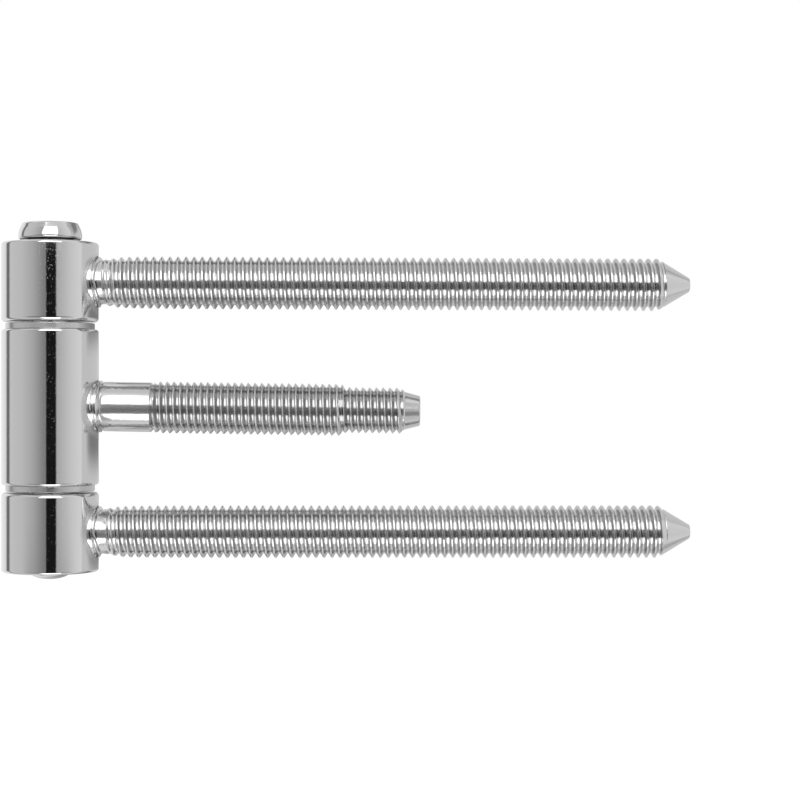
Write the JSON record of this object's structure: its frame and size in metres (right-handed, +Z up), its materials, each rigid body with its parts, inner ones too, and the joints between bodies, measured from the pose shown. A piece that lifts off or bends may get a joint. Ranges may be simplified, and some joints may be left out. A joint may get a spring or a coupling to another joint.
{
  "type": "drill-in hinge",
  "caption": "Drill-in door hinge: round knuckles stacked on a headed pin, each with a threaded stud that screws sideways into the frame or the door.",
  "frame": {"origin": "on the hinge axis, half way up the door knuckle", "axes": "+Z up along the hinge axis towards the pin's head, +X along the studs towards their tips"},
  "size_m": [0.1276, 0.0178, 0.0663],
  "materials": {
    "plated_knuckle": "bright plated, fine turning marks",
    "zinc_stud": "bright zinc plated",
    "plated_pin": "bright plated",
    "satin_bush": "satin sintered steel"
  },
  "bodies": {
    "lower_frame_part": {"lower_knuckle": "plated_knuckle", "lower_frame_stud": "zinc_stud"},
    "door_part": {"door_knuckle": "plated_knuckle", "door_stud": "zinc_stud", "upper_bush": "satin_bush", "lower_bush": "satin_bush"},
    "upper_frame_part": {"upper_knuckle": "plated_knuckle", "upper_frame_stud": "zinc_stud"},
    "pin": {"hinge_pin": "plated_pin"}
  },
  "joints": [
    {"name": "door_swing", "type": "hinge", "parent": "lower_frame_part", "child": "door_part", "pos_m": [0, 0, 0], "axis": [0, 0, 1], "continuous": true},
    {"name": "upper_frame_swing", "type": "hinge", "parent": "lower_frame_part", "child": "upper_frame_part", "pos_m": [0, 0, 0.02312], "axis": [0, 0, 1], "continuous": true},
    {"name": "pin_lift", "type": "slide", "parent": "upper_frame_part", "child": "pin", "axis": [0, 0, 1], "range_m": [0, 0.066]}
  ]
}
